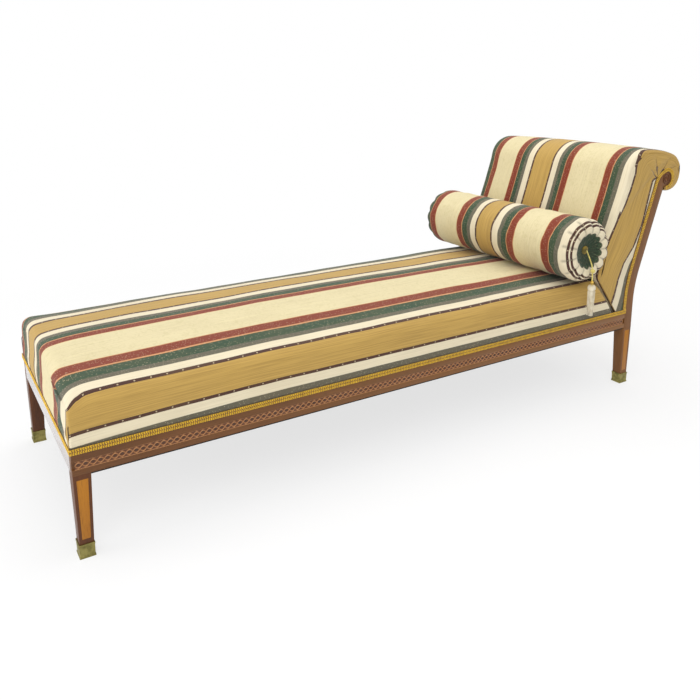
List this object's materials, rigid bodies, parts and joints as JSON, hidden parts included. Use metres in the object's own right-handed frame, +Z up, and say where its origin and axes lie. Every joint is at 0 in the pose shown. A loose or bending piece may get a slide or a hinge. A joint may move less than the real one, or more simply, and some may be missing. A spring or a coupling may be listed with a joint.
{
  "type": "recamier",
  "caption": "Long upholstered recamier on tapered legs with brass feet, a scrolled padded head end and a loose round bolster with a hanging tassel.",
  "frame": {"origin": "on the floor, under the middle of the bounding box of everything except the tassel", "axes": "+X along the seat from the foot end to the scrolled head end, +Y from the near side with the tassel to the far side, +Z up"},
  "size_m": [2.0644, 0.7609, 0.813],
  "materials": {
    "walnut": "french polished, worn",
    "carving": "carved and polished",
    "inlay_veneer": "polished veneer",
    "beech": "plain sawn",
    "brass": "aged, satin",
    "steel": "drawn wire",
    "jute": "coarse weave",
    "stuffing": "padded",
    "dust_cloth": "fine black cloth",
    "gimp": "woven braid",
    "striped_fabric": "striped woven cloth",
    "button_cloth": "covered button",
    "tassel_thread": "twisted thread"
  },
  "bodies": {
    "frame": {"back_cover": "striped_fabric", "back_lower_rail": "beech", "back_stuffing": "stuffing", "back_top_rail": "beech", "back_webbing": "jute", "block_screws": "steel", "carved_band_far": "carving", "carved_band_near": "carving", "cross_rail_1": "beech", "cross_rail_2": "beech", "dust_cover": "dust_cloth", "foot_block_far": "beech", "foot_block_near": "beech", "foot_leg_far": "walnut", "foot_leg_near": "walnut", "foot_rail": "walnut", "frame_dowels": "beech", "gimp_foot": "gimp", "gimp_side_far": "gimp", "gimp_side_near": "gimp", "head_block_far": "beech", "head_block_near": "beech", "head_rail": "walnut", "head_stile_far": "walnut", "head_stile_near": "walnut", "inlay_foot_far": "inlay_veneer", "inlay_foot_near": "inlay_veneer", "inlay_head_far": "inlay_veneer", "inlay_head_near": "inlay_veneer", "outside_back": "striped_fabric", "sabot_foot_far": "brass", "sabot_foot_near": "brass", "sabot_head_far": "brass", "sabot_head_near": "brass", "seat_cover": "striped_fabric", "seat_hessian": "jute", "seat_springs_1": "steel", "seat_springs_2": "steel", "seat_springs_3": "steel", "seat_stuffing": "stuffing", "side_rail_far": "walnut", "side_rail_near": "walnut", "stile_gimp_far": "gimp", "stile_gimp_near": "gimp", "webbing_cross": "jute", "webbing_long": "jute"},
    "bolster": {"bolster_cover": "striped_fabric", "bolster_core": "stuffing", "bolster_button_near": "button_cloth", "bolster_button_far": "button_cloth"},
    "tassel": {"tassel_cord": "tassel_thread", "tassel_knot": "tassel_thread", "tassel_bead": "brass", "tassel_head": "tassel_thread", "tassel_skirt": "tassel_thread"}
  },
  "joints": [
    {"name": "bolster_lift", "type": "slide", "parent": "frame", "child": "bolster", "axis": [0, 0, 1], "range_m": [0, 0.42]},
    {"name": "tassel_swing", "type": "hinge", "parent": "bolster", "child": "tassel", "pos_m": [0.56492, -0.3491, 0.51099], "axis": [0, 1, 0], "range_deg": [-70, 70]}
  ]
}
